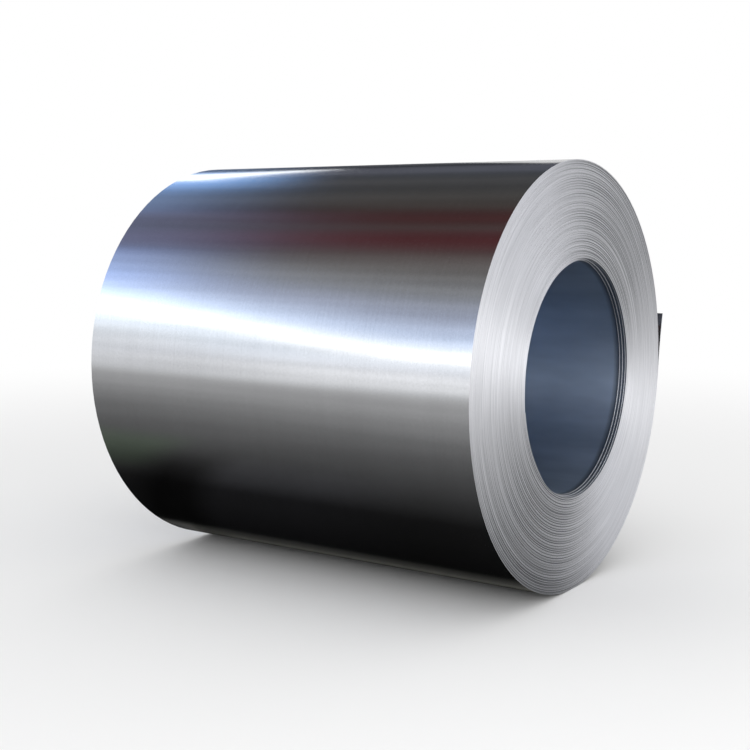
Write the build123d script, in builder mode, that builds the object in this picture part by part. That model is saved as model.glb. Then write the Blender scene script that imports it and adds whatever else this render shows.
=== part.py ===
from build123d import *
import math
import os

# A coil of cold rolled steel strip, wound on a mandrel and lying on its side.
# The axis of the bore is the X axis, and the origin is on it, halfway along the strip's width.
# The end that the tail's edge is seen from faces +X, and +Z is up. Lengths are in millimetres.

# Driving dimensions of the strip and of the coil it makes
strip_width = 1000.0
strip_thickness = 2.0
bore_radius = 254.0
coil_radius = 470.0

# How far each of the innermost turns is pushed in at the +X end, counted from the bore
inner_turn_shifts = [17.0, 10.5, 4.5]

# The turns crept sideways as they were wound: towards the bore they stand out further at the +X end
inner_stand_out = 6.0

# Turns that ran to one side together in winding, as groups that step in and out of the end face
group_count = 8
group_width_swing = 0.45
group_width_pitch = 2.3
group_shift = 2.4
group_shift_pitch = 1.9

# The free tail of the outer turn springs off the coil and flares outwards
tail_angle = -5.0
tail_length = 153.0
tail_flare_radius = 1270.0
tail_gap_root = 14.0

# The inner end of the strip, where the next turn climbs over it and leaves a long thin gap
head_angle = 190.0
head_gap_turn = 8.0
head_gap_depth = 1.8

# The outer turn climbs one strip thickness on its way to the angle of that inner end
climb_span = 60.0

# Sizes that follow from these
half_width = strip_width / 2
core_radius = coil_radius - 3 * strip_thickness
groups_inner_radius = bore_radius + len(inner_turn_shifts) * strip_thickness
outer_group_start = core_radius - 4 * strip_thickness


def turn_groups():
    """Inner radius, outer radius and shift of every group of turns, from the bore outwards."""
    groups = []
    radius = bore_radius
    for shift in inner_turn_shifts:
        groups.append((radius, radius + strip_thickness, shift - inner_stand_out))
        radius += strip_thickness
    weights = [1 + group_width_swing * math.sin(group_width_pitch * k) for k in range(group_count)]
    for k, weight in enumerate(weights):
        width = (outer_group_start - groups_inner_radius) * weight / sum(weights)
        crept = inner_stand_out * (1 - k / group_count)
        shift = group_shift * (1 - math.cos(group_shift_pitch * k)) / 2 - crept
        groups.append((radius, radius + width, shift))
        radius += width
    groups.append((outer_group_start, core_radius, 0.0))
    return groups


def end_profile():
    """Half section of the wound core, as X and radius: a turn shifted in at +X stands out at -X."""
    groups = turn_groups()
    right = []
    for inner, outer, shift in groups:
        right.append((half_width - shift, inner))
        right.append((half_width - shift, outer))
    left = []
    for inner, outer, shift in reversed(groups):
        left.append((-half_width - shift, outer))
        left.append((-half_width - shift, inner))
    return right + left


def bore_point(radius, angle):
    """A point at a radius from the bore's axis, its angle counted from +Y towards +Z."""
    return (radius * math.cos(math.radians(angle)), radius * math.sin(math.radians(angle)))


def outer_turn_point(turned):
    """A point on the outer turn's face, which climbs smoothly on its way to the inner end's angle."""
    climbed = (tail_angle + turned - head_angle + climb_span) / climb_span
    climbed = min(max(climbed, 0.0), 1.0)
    climbed = climbed * climbed * (3 - 2 * climbed)
    return bore_point(coil_radius - strip_thickness * (1 - climbed), tail_angle + turned)


with BuildPart() as steel_coil:
    # The wound core, turned about the bore's axis
    with BuildSketch(Plane.XY):
        with BuildLine():
            Polyline(*end_profile(), close=True)
        make_face()
    revolve(axis=Axis.X)

    # The last turns and the tail, as one section drawn square to the axis
    with BuildSketch(Plane.YZ):
        with BuildLine():
            root_turn = math.degrees(tail_gap_root / coil_radius)
            turn_marks = [root_turn + (360 - root_turn) * k / 24 for k in range(25)]
            outer_turn = Spline(*[outer_turn_point(mark) for mark in turn_marks])
            lift_off = math.radians(tail_angle)
            along = Vector(-math.sin(lift_off), math.cos(lift_off))
            outward = Vector(math.cos(lift_off), math.sin(lift_off))
            flare = math.degrees(tail_length / tail_flare_radius)
            tail_outside = JernArc(outer_turn @ 1, along, tail_flare_radius, -flare)
            flare_centre = outward * (coil_radius + tail_flare_radius)
            inside_radius = tail_flare_radius + strip_thickness
            tip_outside = tail_outside @ 1
            tip_inside = tip_outside + (tip_outside - flare_centre).normalized() * strip_thickness
            root_back = math.radians(tail_angle + 180 - math.degrees(tail_gap_root / tail_flare_radius))
            root_outside = flare_centre + Vector(math.cos(root_back), math.sin(root_back)) * inside_radius
            Line(tip_outside, tip_inside)
            RadiusArc(tip_inside, root_outside, -inside_radius)
            Line(root_outside, outer_turn @ 0)
        make_face()
        Circle(outer_group_start, mode=Mode.SUBTRACT)
    extrude(amount=half_width, both=True)

    # The gap that ends square against the strip's inner end
    with BuildSketch(Plane.YZ):
        with BuildLine():
            gap_start = bore_point(bore_radius - strip_thickness / 10, head_angle - head_gap_turn)
            gap_end = bore_point(bore_radius + head_gap_depth, head_angle)
            end_foot = bore_point(bore_radius - strip_thickness, head_angle)
            Polyline(gap_start, gap_end, end_foot, close=True)
        make_face()
    extrude(amount=strip_width, both=True, mode=Mode.SUBTRACT)

steel_coil.part.label = "steel_coil"

os.makedirs("parts", exist_ok=True)
export_step(steel_coil.part, "parts/steel_coil.step")
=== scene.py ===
import math

import bpy
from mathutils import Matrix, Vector, noise


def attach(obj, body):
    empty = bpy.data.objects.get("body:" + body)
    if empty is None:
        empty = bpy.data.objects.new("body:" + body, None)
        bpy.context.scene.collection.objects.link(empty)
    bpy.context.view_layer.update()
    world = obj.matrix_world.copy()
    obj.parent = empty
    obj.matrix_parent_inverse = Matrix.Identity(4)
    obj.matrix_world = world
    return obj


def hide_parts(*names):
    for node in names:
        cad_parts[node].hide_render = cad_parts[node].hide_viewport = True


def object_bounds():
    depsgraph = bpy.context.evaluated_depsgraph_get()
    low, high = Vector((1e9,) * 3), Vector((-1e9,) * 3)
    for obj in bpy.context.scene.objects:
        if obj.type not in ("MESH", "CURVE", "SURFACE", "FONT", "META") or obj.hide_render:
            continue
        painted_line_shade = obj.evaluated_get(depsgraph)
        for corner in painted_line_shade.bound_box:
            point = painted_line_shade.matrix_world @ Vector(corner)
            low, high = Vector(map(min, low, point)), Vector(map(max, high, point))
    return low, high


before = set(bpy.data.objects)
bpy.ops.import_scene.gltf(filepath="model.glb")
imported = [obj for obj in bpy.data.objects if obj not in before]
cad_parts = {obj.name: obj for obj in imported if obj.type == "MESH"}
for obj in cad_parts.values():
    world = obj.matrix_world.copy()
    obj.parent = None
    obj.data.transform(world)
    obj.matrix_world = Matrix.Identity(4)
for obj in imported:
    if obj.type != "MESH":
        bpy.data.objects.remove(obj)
cad_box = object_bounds()
floor_height = cad_box[0][2]

# The wound strip
# One strip of cold rolled steel, slit to width and wound tight on a mandrel that is then drawn out.
# Only the strip's own spring holds it: the turns wander a little to one side or the other as they run on,
# the innermost three were pushed in on one side, and the tail of the last turn has sprung off at the back.
strip_width = 1.0
strip_thickness = 0.00195
slit_edge_round = 0.0003
bore_radius = 0.254
coil_radius = 0.470
head_angle = 190
tail_angle = 355
whole_turns = 106
steps_per_turn = 96
tail_length = 0.153
tail_flare_radius = 1.270
tail_steps = 12
climb_share_first = 0.022
climb_share_growth = 0.00137
inner_stand_out = 0.006
pushed_in_turns = (0.0168, 0.0105, 0.0045)
pushed_middle = -18
pushed_full = 80
pushed_half = 125
slow_drift = 0.0006
slow_drift_rate = 0.07
slow_drift_row = 3.7
group_turns = 3.6
group_step = 0.0007
group_flat_share = 0.86
group_row = 8.1
turn_jitter = 0.0002
turn_jitter_rate = 1.9
turn_jitter_row = 5.2
outer_drift_share = 0.15
outer_calm_turns = 5
smooth_angle = 20
merge_distance = 0.00001

turns_wound = whole_turns + (tail_angle - head_angle) / 360
turn_pitch = (coil_radius - bore_radius - strip_thickness) / whole_turns


def wound_radius(turn):
    """Middle of the strip's thickness: it lies on the turn below, then climbs over the strip's head end."""
    whole = math.floor(turn)
    climb_share = min(1.0, climb_share_first + climb_share_growth * turn)
    climbed = max(0.0, (turn - whole - 1 + climb_share) / climb_share)
    return bore_radius + strip_thickness / 2 + turn_pitch * (whole + climbed)


def eased(value, start, end):
    """A number that goes smoothly from 0 where the value is at start to 1 where it is at end."""
    share = min(max((value - start) / (end - start), 0.0), 1.0)
    return share * share * (3 - 2 * share)


def side_shift(turn):
    """How far the strip lies from the near end: a slight dish, a slow drift and steps every few turns.
    The innermost turns are pushed in over one side of the bore."""
    drift = slow_drift * (1 + noise.noise(Vector((turn * slow_drift_rate, slow_drift_row, 0))))
    group = turn / group_turns
    this_group = noise.cell(Vector((math.floor(group), 0, group_row)))
    next_group = noise.cell(Vector((math.floor(group) + 1, 0, group_row)))
    step_share = eased(group - math.floor(group), group_flat_share, 1.0)
    stepped = this_group + (next_group - this_group) * step_share
    drift += group_step * (1 + stepped) / 2
    drift += turn_jitter * (1 + noise.noise(Vector((turn * turn_jitter_rate, turn_jitter_row, 0))))
    drift *= min(1.0, outer_drift_share + (turns_wound - turn) / outer_calm_turns)
    from_far_side = turn + (head_angle - pushed_middle - 180) / 360
    pushed_turn = max(0, math.floor(from_far_side))
    aside = abs((from_far_side - pushed_turn) * 360 - 180)
    if pushed_turn < len(pushed_in_turns):
        drift += (pushed_in_turns[pushed_turn] - drift) * eased(aside, pushed_half, pushed_full)
    return drift - inner_stand_out * (1 - turn / turns_wound)


def strip_path():
    """Points of the winding in the plane of the coil's end, from the head in the bore to the tail's tip."""
    steps = round(turns_wound * steps_per_turn)
    for step in range(steps + 1):
        turn = turns_wound * step / steps
        angle = math.radians(head_angle + 360 * turn)
        yield turn, Vector((-math.sin(angle), math.cos(angle))) * wound_radius(turn)
    lift_off = math.radians(tail_angle)
    outward = Vector((-math.sin(lift_off), math.cos(lift_off)))
    flare_centre = outward * (coil_radius - strip_thickness / 2 + tail_flare_radius)
    for step in range(1, tail_steps + 1):
        flare = lift_off - tail_length / tail_flare_radius * step / tail_steps
        back = Vector((math.sin(flare), -math.cos(flare)))
        yield turns_wound, flare_centre + back * tail_flare_radius


bpy.ops.object.select_all(action="DESELECT")

# The strip's section: a flat rectangle whose slit edges are a little rounded
bpy.ops.mesh.primitive_plane_add(size=1)
section = bpy.context.object
section.name = "strip_section"
bpy.ops.transform.resize(value=(strip_thickness, strip_width, 1))
bpy.ops.object.transform_apply(scale=True)
bpy.ops.object.mode_set(mode="EDIT")
bpy.ops.mesh.bevel(offset=slit_edge_round, segments=1, affect="VERTICES")
bpy.ops.mesh.delete(type="ONLY_FACE")
bpy.ops.object.mode_set(mode="OBJECT")
section_points = len(section.data.vertices)
bpy.ops.object.convert(target="CURVE")

# The winding, drawn standing on its end so that the section keeps its width along the coil's axis
path = list(strip_path())
winding = bpy.data.curves.new("winding", "CURVE")
winding.dimensions = "3D"
winding.twist_mode = "Z_UP"
winding.bevel_mode = "OBJECT"
winding.bevel_object = section
winding.use_fill_caps = True
run = winding.splines.new("POLY")
run.points.add(len(path) - 1)
for point, (turn, place) in zip(run.points, path):
    point.co = (place.x, place.y, 0, 1)
strip = bpy.data.objects.new("wound_strip", winding)
bpy.context.scene.collection.objects.link(strip)
bpy.ops.object.select_all(action="DESELECT")
strip.select_set(True)
bpy.context.view_layer.objects.active = strip
bpy.ops.object.convert(target="MESH")
bpy.data.objects.remove(section)

# Each turn runs to one side as it was wound, and then the coil is laid down with its axis along X.
# The mesh starts with the two end caps, the tail's and then the head's, and goes on with the sections.
caps = [path[-1][0]] * section_points + [path[0][0]] * section_points
turns = caps + [turn for turn, place in path for corner in range(section_points)]
for corner, turn in zip(strip.data.vertices, turns):
    corner.co.z -= side_shift(turn)
turn_count = strip.data.attributes.new("turn", "FLOAT", "POINT")
turn_count.data.foreach_set("value", turns)
bpy.ops.object.mode_set(mode="EDIT")
bpy.ops.mesh.select_all(action="SELECT")
bpy.ops.transform.rotate(value=math.radians(-90), orient_axis="Y", center_override=(0, 0, 0))
bpy.ops.mesh.remove_doubles(threshold=merge_distance)
bpy.ops.mesh.normals_make_consistent(inside=False)
bpy.ops.object.mode_set(mode="OBJECT")
bpy.ops.object.shade_smooth_by_angle(angle=math.radians(smooth_angle))


def feed(socket, value):
    """Gives a socket a number, a vector or a colour, or links another node's output to it."""
    if isinstance(value, bpy.types.NodeSocket):
        links.new(value, socket)
    else:
        socket.default_value = value


def math_node(operation, *values):
    """A Math node whose inputs are numbers or other nodes' outputs."""
    node = nodes.new("ShaderNodeMath")
    node.operation = operation
    for socket, value in zip(node.inputs, values):
        feed(socket, value)
    return node.outputs["Value"]


def vector_node(operation, *values):
    """A Vector Math node's outputs; its inputs are vectors or other nodes' outputs."""
    node = nodes.new("ShaderNodeVectorMath")
    node.operation = operation
    for socket, value in zip(node.inputs, values):
        feed(socket, value)
    return node.outputs


def noise_along(source, stretch, detail, roughness):
    """Noise on a coordinate that is stretched by a factor along each axis."""
    pattern = nodes.new("ShaderNodeTexNoise")
    pattern.inputs["Scale"].default_value = 1.0
    pattern.inputs["Detail"].default_value = detail
    pattern.inputs["Roughness"].default_value = roughness
    links.new(vector_node("MULTIPLY", source, stretch)["Vector"], pattern.inputs["Vector"])
    return pattern.outputs["Fac"]


def between(value, low, high, from_low=0.3, from_high=0.7):
    """A number from low to high that follows another; noise mostly lies between 0.3 and 0.7."""
    ranged = nodes.new("ShaderNodeMapRange")
    ranged.inputs["From Min"].default_value = from_low
    ranged.inputs["From Max"].default_value = from_high
    ranged.inputs["To Min"].default_value = low
    ranged.inputs["To Max"].default_value = high
    links.new(value, ranged.inputs["Value"])
    return ranged.outputs["Result"]


def painted(under, blend_type, share, colour):
    """A colour laid over the one beneath it by a share: mixed, added or multiplied."""
    node = nodes.new("ShaderNodeMix")
    node.data_type = "RGBA"
    node.blend_type = blend_type
    feed(node.inputs["Factor"], share)
    feed(node.inputs["A"], under)
    feed(node.inputs["B"], colour)
    return node.outputs["Result"]


def tone(share, dark, light):
    """A colour that follows a number from dark at 0 to light at 1."""
    return painted((*dark, 1), "MIX", share, (*light, 1))


def steel_shader(material, anisotropy):
    """The shader of bare steel whose fine lines run along the strip, by the winding's own map."""
    shader = material.node_tree.nodes["Principled BSDF"]
    shader.inputs["Metallic"].default_value = 1.0
    shader.inputs["Anisotropic"].default_value = anisotropy
    shader.inputs["Anisotropic Rotation"].default_value = quarter_turn
    direction = nodes.new("ShaderNodeTangent")
    direction.direction_type = "UV_MAP"
    direction.uv_map = "UVMap"
    links.new(direction.outputs["Tangent"], shader.inputs["Tangent"])
    return shader


def turn_number():
    """The turn that a point of the strip belongs to, counted from the bore."""
    count = nodes.new("ShaderNodeAttribute")
    count.attribute_name = "turn"
    return count.outputs["Fac"]


# The rolled face mirrors its surroundings, a little blurred by its fine grain and by faint rolling lines
# along the strip. The innermost turns are duller, with a painted blue reflection in soft patches and
# a painted shade on the rim just inside the near end.
# A noise is given as its stretch along X, Y and Z, its detail and its roughness.
quarter_turn = 0.25
face_anisotropy = 0.5
rolling_lines_noise = ((420, 6, 6), 5, 0.62)
rolling_lines_share = 0.25
broad_bands_noise = ((14, 2.5, 2.5), 3, 0.5)
broad_bands_share = 0.25
grain_noise = ((230, 230, 230), 3, 0.75)
grain_share = 0.5
grain_strength = 0.15
grain_height = 0.00002
face_dark = (0.56, 0.565, 0.575)
face_light = (0.66, 0.665, 0.68)
face_roughness = (0.125, 0.155)
bore_turns = (3.5, 4.0)
bore_reflection_patches_noise = ((2.5, 9, 9), 3, 0.6)
bore_reflection_dark = (0.42, 0.49, 0.585)
bore_reflection_light = (0.63, 0.715, 0.835)
bore_added_roughness = 0.23
rim_shade_along = (0.474, 0.486)
rim_shade_most = 0.8
rim_shade_colour = (0.10, 0.11, 0.13, 1)

rolled = bpy.data.materials.new("cold_rolled_face")
rolled.use_nodes = True
nodes, links = rolled.node_tree.nodes, rolled.node_tree.links
steel = steel_shader(rolled, face_anisotropy)
place = nodes.new("ShaderNodeTexCoord").outputs["Object"]
axes = nodes.new("ShaderNodeSeparateXYZ")
links.new(place, axes.inputs["Vector"])
in_bore = between(turn_number(), 1.0, 0.0, *bore_turns)
rolling_lines = noise_along(place, *rolling_lines_noise)
broad_bands = noise_along(place, *broad_bands_noise)
grain = noise_along(place, *grain_noise)
shade = between(rolling_lines, 0.0, rolling_lines_share)
shade = math_node("ADD", shade, between(broad_bands, 0.0, broad_bands_share))
shade = math_node("ADD", shade, between(grain, 0.0, grain_share))
outside = tone(shade, face_dark, face_light)
# Painted reflection: the innermost turns take a blue tone in soft patches.
bore_reflection_patches = noise_along(place, *bore_reflection_patches_noise)
inside = tone(between(bore_reflection_patches, 0.0, 1.0), bore_reflection_dark, bore_reflection_light)
# Painted shade: a dark rim just inside the near end of the bore.
rim_shade = between(axes.outputs["X"], 0.0, rim_shade_most, *rim_shade_along)
inside = painted(inside, "MIX", rim_shade, rim_shade_colour)
feed(steel.inputs["Base Color"], painted(outside, "MIX", in_bore, inside))
blur = math_node("MULTIPLY_ADD", in_bore, bore_added_roughness, between(rolling_lines, *face_roughness))
feed(steel.inputs["Roughness"], blur)
relief = nodes.new("ShaderNodeBump")
relief.inputs["Strength"].default_value = grain_strength
relief.inputs["Distance"].default_value = grain_height
links.new(grain, relief.inputs["Height"])
links.new(relief.outputs["Normal"], steel.inputs["Normal"])

# The slit edges are duller, sheared steel. Fine dark lines run along the turns, every two or three of them,
# as painted shade at the small steps between them. This painted shade is stronger on two opposite sides
# of the bore, where the rings run across the light, and that stays fixed to the coil.
edge_anisotropy = 0.74
edge_roughness = 0.58
edge_pale = (0.93, 0.935, 0.965)
edge_dark = (0.28, 0.29, 0.31)
edge_noise = ((1.9, 3.5, 3.5), 3, 0.6)
edge_noise_range = (0.35, 0.60)
edge_noise_share = 0.2
line_scale = 0.12
line_distortion = 4.0
line_detail = 2.0
line_detail_scale = 1.5
line_range = (0.0, 0.5)
line_shade_side = (0, 0.54, 0.84)
line_shade_focus = 4.0
line_least = 0.1
line_most = 0.8
across_axis = (0, 1, 1)

slit = bpy.data.materials.new("slit_edge")
slit.use_nodes = True
nodes, links = slit.node_tree.nodes, slit.node_tree.links
steel = steel_shader(slit, edge_anisotropy)
place = nodes.new("ShaderNodeTexCoord").outputs["Object"]
counted = nodes.new("ShaderNodeCombineXYZ")
links.new(turn_number(), counted.inputs["X"])
place_on_edge = vector_node("MULTIPLY_ADD", place, across_axis, counted.outputs["Vector"])["Vector"]
turn_tone = noise_along(place_on_edge, *edge_noise)
ring_lines = nodes.new("ShaderNodeTexWave")
ring_lines.inputs["Scale"].default_value = line_scale
ring_lines.inputs["Distortion"].default_value = line_distortion
ring_lines.inputs["Detail"].default_value = line_detail
ring_lines.inputs["Detail Scale"].default_value = line_detail_scale
links.new(place_on_edge, ring_lines.inputs["Vector"])
line = between(ring_lines.outputs["Fac"], 1.0, 0.0, *line_range)
# Painted shade: the lines are darker on two opposite sides of the bore, where the rings run across the
# light.
spoke = vector_node("NORMALIZE", vector_node("MULTIPLY", place, across_axis)["Vector"])["Vector"]
beside = vector_node("DOT_PRODUCT", spoke, line_shade_side)["Value"]
line_shade_strength = between(math_node("POWER", beside, line_shade_focus), 0.0, 1.0, line_least, line_most)
painted_line_shade = math_node("MULTIPLY", line, line_shade_strength)
mottled = between(turn_tone, 0.0, 1.0, *edge_noise_range)
darkness = math_node("MULTIPLY_ADD", mottled, edge_noise_share, painted_line_shade)
feed(steel.inputs["Base Color"], tone(darkness, edge_pale, edge_dark))
steel.inputs["Roughness"].default_value = edge_roughness

strip.data.materials.append(rolled)
strip.data.materials.append(slit)
for face in strip.data.polygons:
    face.material_index = 1 if abs(face.normal.x) > 0.5 else 0

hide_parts("steel_coil")
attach(strip, "root")

# The floor and the background
# A plain pale floor that keeps the coil's soft shadow and runs on into a white background.
floor_size = 60
floor_colour = (0.9, 0.9, 0.9, 1)
floor_roughness = 0.9
floor_specular = 0.1
shadow_reach = 1.6
white_reach = 4.5
white_colour = (1, 1, 1, 1)
world_light = 0.95


def smooth_step(value, start, end):
    """A number that goes smoothly from 0 where the value is at start to 1 where it is at end."""
    node = nodes.new("ShaderNodeMapRange")
    node.interpolation_type = "SMOOTHSTEP"
    node.inputs["From Min"].default_value = start
    node.inputs["From Max"].default_value = end
    links.new(value, node.inputs["Value"])
    return node.outputs["Result"]


def background_rays():
    """1 for the camera's, glossy and transmission rays, which see the white background, and 0 for others."""
    rays = nodes.new("ShaderNodeLightPath").outputs
    seen = math_node("MAXIMUM", rays["Is Camera Ray"], rays["Is Glossy Ray"])
    return math_node("MAXIMUM", seen, rays["Is Transmission Ray"])


bpy.ops.object.select_all(action="DESELECT")
bpy.ops.mesh.primitive_plane_add(size=floor_size, location=(0, 0, floor_height))
floor = bpy.context.object
floor.name = "floor"
bpy.ops.object.transform_apply(location=True)

pale_floor = bpy.data.materials.new("pale_floor")
pale_floor.use_nodes = True
nodes, links = pale_floor.node_tree.nodes, pale_floor.node_tree.links
paint = nodes["Principled BSDF"]
paint.inputs["Base Color"].default_value = floor_colour
paint.inputs["Roughness"].default_value = floor_roughness
paint.inputs["Specular IOR Level"].default_value = floor_specular
place = nodes.new("ShaderNodeTexCoord").outputs["Object"]
distance = vector_node("LENGTH", place)["Value"]
white_share = math_node("MULTIPLY", smooth_step(distance, shadow_reach, white_reach), background_rays())
white = nodes.new("ShaderNodeEmission")
white.inputs["Color"].default_value = white_colour
floor_mix = nodes.new("ShaderNodeMixShader")
links.new(white_share, floor_mix.inputs["Fac"])
links.new(paint.outputs["BSDF"], floor_mix.inputs[1])
links.new(white.outputs["Emission"], floor_mix.inputs[2])
links.new(floor_mix.outputs["Shader"], nodes["Material Output"].inputs["Surface"])
floor.data.materials.append(pale_floor)

world = bpy.data.worlds.new("white_surroundings")
bpy.context.scene.world = world
world.use_nodes = True
world.cycles.sampling_method = "NONE"
nodes, links = world.node_tree.nodes, world.node_tree.links
nodes["Background"].inputs["Color"].default_value = white_colour
feed(nodes["Background"].inputs["Strength"], between(background_rays(), world_light, 1.0, 0.0, 1.0))

# What the steel mirrors
# Bright steel shows little but its surroundings, so it lies in a studio tent that only reflections see:
# a long tube of cloth round the coil's axis, pale at the horizon and dark overhead, with a skylight at the
# back left and a pale roof over the right end. A mat on the floor is seen by reflections only, too.
# Angles go round the tent in degrees, from 0 at the front horizon over the top to 180 at the back.
# A pair says where a change starts and where it is done, as an angle or, with along, as a place on X.
tent_radius = 4.0
tent_length = 16.0
tent_steps = 72
tent_angles = (-20, 200)
tent_bands = (
    (-13, (0.50, 0.50, 0.50)),
    (-6.5, (0.76, 0.77, 0.78)),
    (-3.5, (0.88, 0.89, 0.91)),
    (3, (0.95, 0.96, 0.99)),
    (6, (0.88, 0.92, 1.00)),
    (9, (1.10, 1.17, 1.26)),
    (11, (2.10, 2.12, 2.12)),
    (14, (2.10, 2.15, 2.20)),
    (17, (1.25, 1.40, 1.62)),
    (21, (0.90, 1.05, 1.36)),
    (26, (0.70, 0.80, 1.03)),
    (33, (0.49, 0.54, 0.68)),
    (44, (0.33, 0.34, 0.36)),
    (55, (0.225, 0.217, 0.21)),
    (65, (0.125, 0.10, 0.095)),
    (70, (0.11, 0.05, 0.052)),
    (75, (0.105, 0.028, 0.031)),
    (80, (0.095, 0.040, 0.042)),
    (83, (0.085, 0.065, 0.062)),
    (88, (0.080, 0.030, 0.030)),
    (93, (0.075, 0.032, 0.032)),
    (98, (0.073, 0.060, 0.055)),
    (108, (0.092, 0.088, 0.084)),
    (116, (0.060, 0.060, 0.062)),
    (125, (0.092, 0.092, 0.095)),
    (133, (0.060, 0.065, 0.075)),
    (138, (0.11, 0.115, 0.14)),
    (147, (0.11, 0.115, 0.14)),
    (153, (0.025, 0.027, 0.032)),
    (160, (0.10, 0.105, 0.12)),
)
glow_climb = 7.7
glow_climb_start = -1.85
glow_climb_most = 20.0
glow_climb_in = (2, 18)
glow_climb_out = (40, 75)
glow_middle = 12.5
shoulder_colour = (0.35, 0.42, 0.48, 1)
shoulder_in = (-19, -6)
shoulder_out = (2, 16)
shoulder_along = (-2.1, -3.7)
haze_bands = (
    (0, (0.0, 0.0, 0.0)),
    (25, (0.22, 0.27, 0.32)),
    (38, (0.27, 0.40, 0.70)),
    (50, (0.31, 0.52, 1.10)),
    (65, (0.27, 0.42, 0.84)),
    (85, (0.18, 0.26, 0.48)),
    (110, (0.19, 0.32, 0.60)),
    (145, (0.19, 0.32, 0.60)),
    (155, (0.03, 0.06, 0.12)),
)
haze_along = (-2.7, -4.7)
red_in = (66, 70)
red_out = (93, 97)
red_fade_along = (-2.0, -4.2)
red_fade_most = 0.6
faded_red = (0.16, 0.17, 0.22, 1)
right_glow = (0.28, 0.28, 0.28, 1)
right_glow_in = (-6, -3)
right_glow_under = (12, 8)
right_glow_along = (-3.7, -2.0)
back_wall_in = (150, 153)
back_wall_slope = 19.0
back_wall_slope_start = -1.45
back_wall_slope_most = 20
back_wall_near = (0.75, 0.75, 0.75, 1)
back_wall_far = (0.09, 0.11, 0.15, 1)
back_wall_far_along = (-1.8, -2.9)
skylight_halo = (0.17, 0.42, 0.90, 1)
halo_in = (112, 134)
halo_out = (146, 151)
halo_out_most = 0.9
halo_along = (-2.8, -3.8)
skylight_colour = (2.1, 2.15, 2.2, 1)
skylight_in = (131.5, 134.5)
skylight_under = (146.5, 143.5)
skylight_taper = 16.5
skylight_taper_start = -3.84
skylight_top_taper = 0.3
roof_bands = (
    (-20, (0.45, 0.45, 0.46)),
    (5, (0.90, 0.91, 0.93)),
    (30, (0.55, 0.56, 0.58)),
    (65, (0.60, 0.61, 0.63)),
    (95, (0.92, 0.93, 0.96)),
    (120, (0.92, 0.93, 0.96)),
    (138, (0.70, 0.71, 0.74)),
    (155, (0.86, 0.86, 0.88)),
    (170, (0.58, 0.58, 0.59)),
    (200, (0.45, 0.45, 0.46)),
)
roof_along = (0.3, 1.8)
fold_noise = ((0.45, 0.35, 1), 4, 0.6)
fold_dark = (0.78, 0.78, 0.78)
fold_light = (1.22, 1.22, 1.22)


def seen_in_reflections(thing):
    """Hides a thing of the studio from every ray but the glossy ones."""
    thing.visible_camera = False
    thing.visible_diffuse = False
    thing.visible_transmission = False
    thing.visible_shadow = False


def colour_bands(value, bands, low, high):
    """A colour ramp whose stops are given at places between low and high."""
    ramp = nodes.new("ShaderNodeValToRGB")
    links.new(between(value, 0.0, 1.0, low, high), ramp.inputs["Fac"])
    stops = ramp.color_ramp.elements
    while len(stops) < len(bands):
        stops.new(0.5)
    for stop, (band_place, colour) in zip(stops, bands):
        stop.position = (band_place - low) / (high - low)
        stop.color = (*colour, 1)
    return ramp.outputs["Color"]


bpy.ops.object.select_all(action="DESELECT")
bpy.ops.mesh.primitive_circle_add(
    vertices=tent_steps,
    radius=tent_radius,
    location=(-tent_length / 2, 0, 0),
    rotation=(0, math.radians(90), 0),
)
tent = bpy.context.object
tent.name = "reflection_tent"
bpy.ops.object.mode_set(mode="EDIT")
bpy.ops.mesh.select_all(action="SELECT")
bpy.ops.mesh.extrude_region_move(TRANSFORM_OT_translate={"value": (tent_length, 0, 0)})
bpy.ops.object.mode_set(mode="OBJECT")
bpy.ops.object.transform_apply(location=True, rotation=True)
seen_in_reflections(tent)

tent_cloth = bpy.data.materials.new("tent_cloth")
tent_cloth.use_nodes = True
nodes, links = tent_cloth.node_tree.nodes, tent_cloth.node_tree.links
nodes.remove(nodes["Principled BSDF"])
place = nodes.new("ShaderNodeTexCoord").outputs["Object"]
axes = nodes.new("ShaderNodeSeparateXYZ")
links.new(place, axes.inputs["Vector"])
along = axes.outputs["X"]

# The angle round the tent, from the front horizon up and over to the back
turned_half = math_node("ARCTAN2", math_node("MULTIPLY", axes.outputs["Z"], -1), axes.outputs["Y"])
degrees = math_node("ADD", math_node("DEGREES", turned_half), 180)
below_front = math_node("GREATER_THAN", degrees, 270)
angle = math_node("SUBTRACT", degrees, math_node("MULTIPLY", below_front, 360))

# The bands of cloth; the bright one over the horizon climbs to the left
climb = math_node("MULTIPLY", math_node("SUBTRACT", glow_climb_start, along), glow_climb)
climb = math_node("MINIMUM", math_node("MAXIMUM", climb, 0), glow_climb_most)
climb_share = math_node("SUBTRACT", smooth_step(angle, *glow_climb_in), smooth_step(angle, *glow_climb_out))
banded = math_node("SUBTRACT", angle, math_node("MULTIPLY", climb, climb_share))
cloth = colour_bands(banded, tent_bands, *tent_angles)

# A softer glow round the left end of the bright band
from_glow = math_node("SUBTRACT", angle, math_node("ADD", climb, glow_middle))
shoulder = math_node("SUBTRACT", smooth_step(from_glow, *shoulder_in), smooth_step(from_glow, *shoulder_out))
shoulder = math_node("MULTIPLY", shoulder, smooth_step(along, *shoulder_along))
cloth = painted(cloth, "ADD", shoulder, shoulder_colour)

# Blue haze at the left end
haze = colour_bands(angle, haze_bands, *tent_angles)
cloth = painted(cloth, "ADD", smooth_step(along, *haze_along), haze)

# The red bands fade to the left, and the horizon is brighter at the right
red_band = math_node("SUBTRACT", smooth_step(angle, *red_in), smooth_step(angle, *red_out))
faded = math_node("MULTIPLY", red_band, smooth_step(along, *red_fade_along))
cloth = painted(cloth, "MIX", math_node("MULTIPLY", faded, red_fade_most), faded_red)
low_right = smooth_step(angle, *right_glow_under)
low_right = math_node("MULTIPLY", low_right, smooth_step(along, *right_glow_along))
low_right = math_node("MULTIPLY", low_right, smooth_step(angle, *right_glow_in))
cloth = painted(cloth, "ADD", low_right, right_glow)

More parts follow.
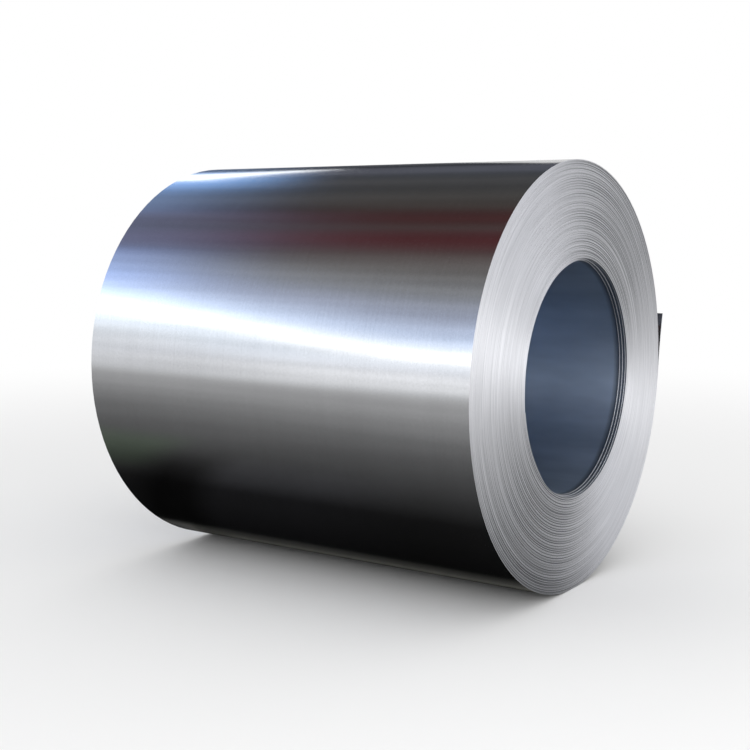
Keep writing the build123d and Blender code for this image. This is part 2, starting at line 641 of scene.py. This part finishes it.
# The back wall, pale at the right, whose top slopes down to the left
slope = math_node("MAXIMUM", math_node("SUBTRACT", back_wall_slope_start, along), 0)
slope = math_node("MINIMUM", math_node("MULTIPLY", slope, back_wall_slope), back_wall_slope_most)
wall_share = smooth_step(math_node("SUBTRACT", angle, slope), *back_wall_in)
far_share = math_node("MULTIPLY", wall_share, smooth_step(along, *back_wall_far_along))
cloth = painted(cloth, "MIX", wall_share, back_wall_near)
cloth = painted(cloth, "MIX", far_share, back_wall_far)

# The skylight, a long pane that tapers to the right, in a blue halo
halo = math_node("MULTIPLY", smooth_step(angle, *halo_in), smooth_step(along, *halo_along))
past_top = math_node("MULTIPLY", smooth_step(angle, *halo_out), halo_out_most)
halo = math_node("MULTIPLY", halo, math_node("SUBTRACT", 1.0, past_top))
halo = math_node("MULTIPLY", halo, math_node("SUBTRACT", 1.0, wall_share))
cloth = painted(cloth, "ADD", halo, skylight_halo)
taper = math_node("MAXIMUM", math_node("SUBTRACT", along, skylight_taper_start), 0)
taper = math_node("MULTIPLY", taper, skylight_taper)
over_sill = math_node("SUBTRACT", angle, taper)
under_top = math_node("SUBTRACT", angle, math_node("MULTIPLY", taper, skylight_top_taper))
pane = math_node("MULTIPLY", smooth_step(over_sill, *skylight_in), smooth_step(under_top, *skylight_under))
cloth = painted(cloth, "MIX", pane, skylight_colour)

# The roof over the right end
roof_light = colour_bands(angle, roof_bands, *tent_angles)
cloth = painted(cloth, "MIX", smooth_step(along, *roof_along), roof_light)

# Long faint streaks, as folds in the cloth
fold_place = nodes.new("ShaderNodeCombineXYZ")
links.new(along, fold_place.inputs["X"])
links.new(angle, fold_place.inputs["Y"])
folds = noise_along(fold_place.outputs["Vector"], *fold_noise)
cloth = painted(cloth, "MULTIPLY", 1.0, tone(between(folds, 0.0, 1.0), fold_dark, fold_light))

# The cloth glows: its bands, skylight and roof are painted light for the steel to mirror.
glow = nodes.new("ShaderNodeEmission")
links.new(cloth, glow.inputs["Color"])
links.new(glow.outputs["Emission"], nodes["Material Output"].inputs["Surface"])
tent.data.materials.append(tent_cloth)

# The mat: its tones go by the distance out from the coil, to its sides and past its near end. From 0.2 m
# to about 1.25 m out they hold a painted shadow of the coil, darkest up to 0.42 m.
# Its places are in metres, and a pair says where a change starts and where it is done.
mat_width = 8.0
mat_length = 16.0
mat_lift = 0.0008
mat_end_start = 0.47
mat_end_rate = 9.0
mat_end_most = 2.4
mat_tones_and_shadow = (
    (0.0, (0.12, 0.12, 0.11)),
    (0.105, (0.12, 0.12, 0.11)),
    (0.13, (0.56, 0.55, 0.50)),
    (0.155, (0.22, 0.22, 0.20)),
    (0.20, (0.010, 0.010, 0.010)),
    (0.42, (0.013, 0.013, 0.013)),
    (0.70, (0.11, 0.11, 0.11)),
    (1.25, (0.26, 0.26, 0.26)),
    (2.0, (0.42, 0.42, 0.42)),
    (3.0, (0.51, 0.51, 0.51)),
    (3.9, (0.64, 0.64, 0.64)),
)
shade_under_left_within = (0.2, 0.14)
shade_under_left_fade_along = (-0.6, -0.3)
shade_under_left_colour = (0.04, 0.04, 0.04, 1)
mat_light_and_shade = (
    (-0.85, (1.2, 1.2, 1.2)),
    (-0.70, (1.0, 1.0, 1.0)),
    (-0.56, (0.3, 0.3, 0.3)),
    (-0.46, (0.45, 0.45, 0.45)),
    (-0.36, (1.6, 1.6, 1.7)),
    (-0.1, (1.6, 1.6, 1.7)),
    (0.2, (1.1, 1.1, 1.1)),
)
mat_light_and_shade_along = (-1.5, 0.5)
mat_light_and_shade_in = (0.16, 0.22)
mat_light_and_shade_out = (0.45, 0.7)
mat_green = (1.10, 1.34, 1.04, 1)
mat_green_along = (-0.54, -0.70)
mat_green_in = (0.44, 0.54)
mat_green_within = (0.82, 0.64)
scuff_noise = ((0.7, 4, 1), 4, 0.6)
scuff_dark = (0.88, 0.88, 0.88)
scuff_light = (1.12, 1.12, 1.12)

bpy.ops.object.select_all(action="DESELECT")
bpy.ops.mesh.primitive_plane_add(size=1, location=(0, 0, floor_height + mat_lift))
floor_mat = bpy.context.object
floor_mat.name = "reflection_mat"
bpy.ops.transform.resize(value=(mat_length, mat_width, 1))
bpy.ops.object.transform_apply(location=True, scale=True)
seen_in_reflections(floor_mat)

mat_felt = bpy.data.materials.new("mat_felt")
mat_felt.use_nodes = True
nodes, links = mat_felt.node_tree.nodes, mat_felt.node_tree.links
felt = nodes["Principled BSDF"]
felt.inputs["Roughness"].default_value = 1.0
felt.inputs["Specular IOR Level"].default_value = 0.0
place = nodes.new("ShaderNodeTexCoord").outputs["Object"]
axes = nodes.new("ShaderNodeSeparateXYZ")
links.new(place, axes.inputs["Vector"])
along = axes.outputs["X"]
past_end = math_node("MULTIPLY", math_node("SUBTRACT", along, mat_end_start), mat_end_rate)
past_end = math_node("MINIMUM", past_end, mat_end_most)
out = math_node("MAXIMUM", math_node("ABSOLUTE", axes.outputs["Y"]), past_end)
# Painted shadow: the tones are darkest from 0.2 m to 0.42 m out from the coil.
felt_tone = colour_bands(out, mat_tones_and_shadow, 0.0, mat_width / 2)

# Painted shade under the left end; along the coil, painted shade and light in places, and a greener patch
shade_under_left = smooth_step(out, *shade_under_left_within)
shade_under_left = math_node("SUBTRACT", shade_under_left, smooth_step(along, *shade_under_left_fade_along))
felt_tone = painted(felt_tone, "MIX", math_node("MAXIMUM", shade_under_left, 0.0), shade_under_left_colour)
# Painted light and shade: close beside the coil, the mat is made darker or paler in places along it.
near_coil = math_node("SUBTRACT", smooth_step(out, *mat_light_and_shade_in), smooth_step(out, *mat_light_and_shade_out))
felt_tone = painted(felt_tone, "MULTIPLY", near_coil, colour_bands(along, mat_light_and_shade, *mat_light_and_shade_along))
green = math_node("MULTIPLY", smooth_step(along, *mat_green_along), smooth_step(out, *mat_green_in))
green = math_node("MULTIPLY", green, smooth_step(out, *mat_green_within))
felt_tone = painted(felt_tone, "MULTIPLY", green, mat_green)
scuffs = tone(between(noise_along(place, *scuff_noise), 0.0, 1.0), scuff_dark, scuff_light)
felt_tone = painted(felt_tone, "MULTIPLY", 1.0, scuffs)
links.new(felt_tone, felt.inputs["Base Color"])
floor_mat.data.materials.append(mat_felt)

# A softbox in front at the right, which lights the end face
softbox_place = Vector((2.9, -2.75, 1.05))
softbox_aim = Vector((0.5, 0, 0))
softbox_width = 2.3
softbox_height = 1.7
softbox_power = 40
softbox_light = bpy.data.lights.new("front_right_softbox", "AREA")
softbox_light.shape = "RECTANGLE"
softbox_light.size = softbox_width
softbox_light.size_y = softbox_height
softbox_light.energy = softbox_power
softbox = bpy.data.objects.new("front_right_softbox", softbox_light)
softbox.location = softbox_place
softbox.rotation_euler = (softbox_aim - softbox_place).to_track_quat("-Z", "Y").to_euler()
bpy.context.scene.collection.objects.link(softbox)

# The camera
# At the photograph's place: a little above the coil's axis, to the right of the side, level across.
camera_place = Vector((1.6632, -2.5034, 0.3397))
camera_target = Vector((-0.0293, 0.0, -0.0299))
camera_lens = 60.79
camera_sensor_width = 36
camera = bpy.data.objects.new("camera", bpy.data.cameras.new("camera"))
camera.data.lens = camera_lens
camera.data.sensor_width = camera_sensor_width
camera.location = camera_place
camera.rotation_euler = (camera_target - camera_place).to_track_quat("-Z", "Y").to_euler()
bpy.context.scene.collection.objects.link(camera)
bpy.context.scene.camera = camera

bpy.context.scene.view_settings.view_transform = "Standard"
